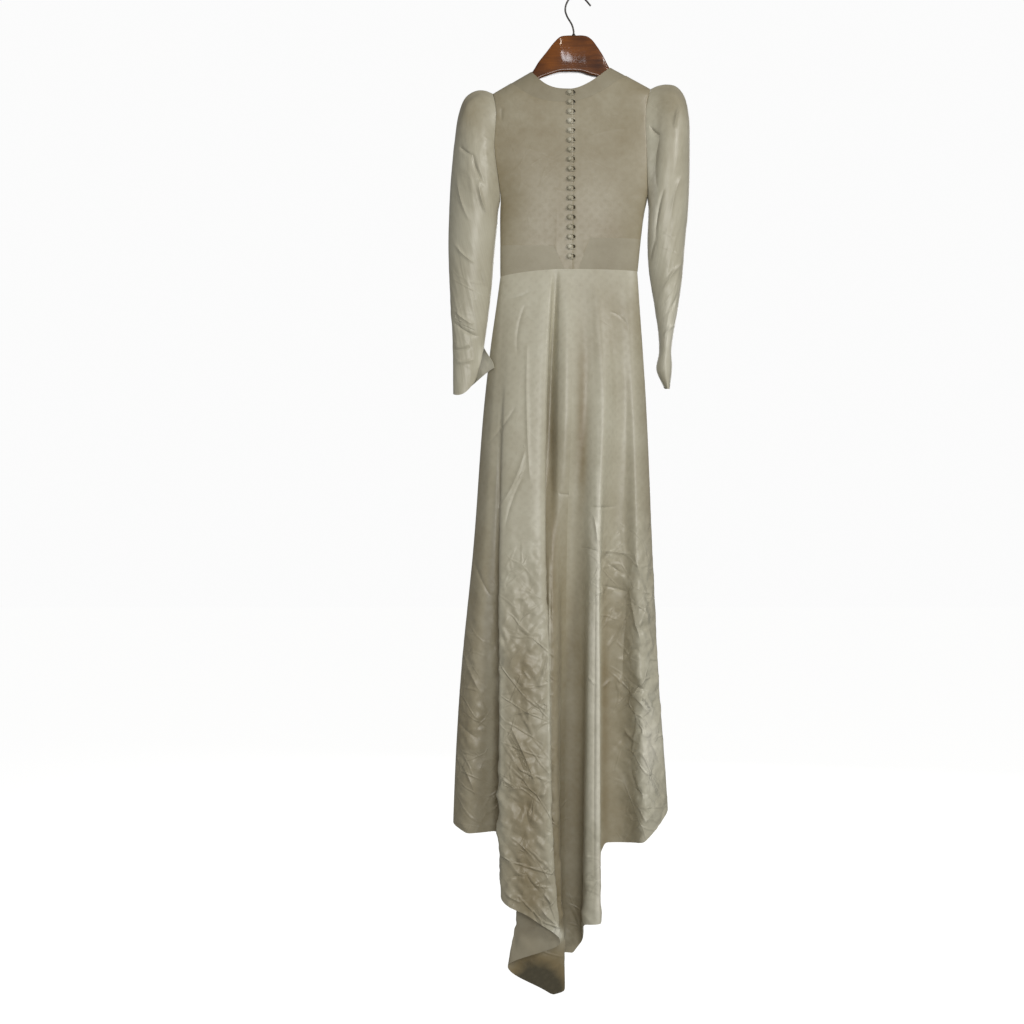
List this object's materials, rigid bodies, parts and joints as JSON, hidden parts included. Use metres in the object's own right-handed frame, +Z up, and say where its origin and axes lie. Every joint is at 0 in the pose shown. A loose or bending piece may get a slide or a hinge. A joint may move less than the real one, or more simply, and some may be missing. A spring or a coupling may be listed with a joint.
{
  "type": "long-sleeved wedding dress with a train on a wooden clothes hanger",
  "caption": "Long figured-satin wedding dress with puffed sleeves, buttoned back, midriff band and folded train, hanging on a varnished wooden hanger with a wire hook.",
  "frame": {"origin": "the inner top of the hanger's hook, where it bears on the rail or nail that holds it", "axes": "+Z up along the hook, +X towards the right sleeve as seen from behind the dress, -Y out of the buttoned back of the dress, towards the camera"},
  "size_m": [0.5065, 0.1699, 2.0888],
  "materials": {
    "figured_satin": "ivory satin with a small woven figure, soft sheen",
    "plain_satin": "ivory satin, plain, low sheen",
    "varnished_wood": "dark red-brown gloss varnish",
    "steel_wire": "dark bare steel wire"
  },
  "bodies": {
    "root": {"bodice_front": "figured_satin", "bodice_back_left": "figured_satin", "bodice_back_right": "figured_satin", "skirt_front": "figured_satin", "skirt_back_left": "figured_satin", "skirt_back_right": "figured_satin", "sleeve_left": "figured_satin", "sleeve_right": "figured_satin", "neck_band_front": "plain_satin", "neck_band_back_left": "plain_satin", "neck_band_back_right": "plain_satin", "midriff_front": "plain_satin", "midriff_back_left": "plain_satin", "midriff_back_right": "plain_satin", "button_loop_cord": "plain_satin", "button_01": "plain_satin", "button_02": "plain_satin", "button_03": "plain_satin", "button_04": "plain_satin", "button_05": "plain_satin", "button_06": "plain_satin", "button_07": "plain_satin", "button_08": "plain_satin", "button_09": "plain_satin", "button_10": "plain_satin", "button_11": "plain_satin", "button_12": "plain_satin", "button_13": "plain_satin", "button_14": "plain_satin", "button_15": "plain_satin", "button_16": "plain_satin", "button_17": "plain_satin", "button_18": "plain_satin", "hanger_wood": "varnished_wood", "hanger_collar": "steel_wire", "hanger_hook": "steel_wire"}
  },
  "joints": []
}
